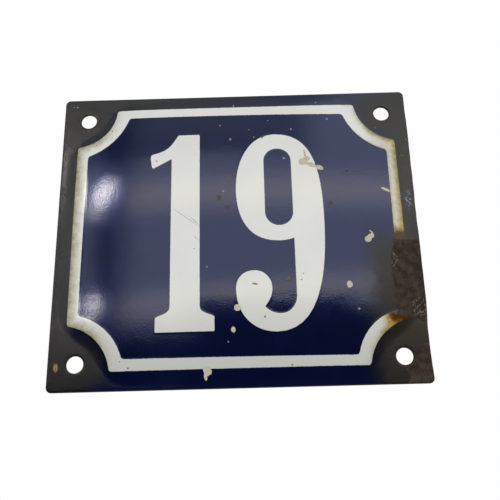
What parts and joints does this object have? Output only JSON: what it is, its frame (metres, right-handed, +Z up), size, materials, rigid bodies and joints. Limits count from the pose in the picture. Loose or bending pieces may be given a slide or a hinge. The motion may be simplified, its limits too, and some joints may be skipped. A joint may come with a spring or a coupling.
{
  "type": "enamel house number plate",
  "caption": "Shallow domed enamelled steel house number plate with a notched white border, white numerals and a screw hole in each corner.",
  "frame": {"origin": "centre of the rectangle of the four screw holes, on the back of the lip, which is the wall plane", "axes": "-Y out of the front of the plate, +Z up the numerals, +X to the viewer's right"},
  "size_m": [0.14, 0.0039, 0.12],
  "materials": {
    "enamel": "glossy fired enamel on steel, navy with white border and numerals, chipped, stained and rusted at one edge"
  },
  "bodies": {
    "root": {"sign_plate": "enamel"}
  },
  "joints": []
}
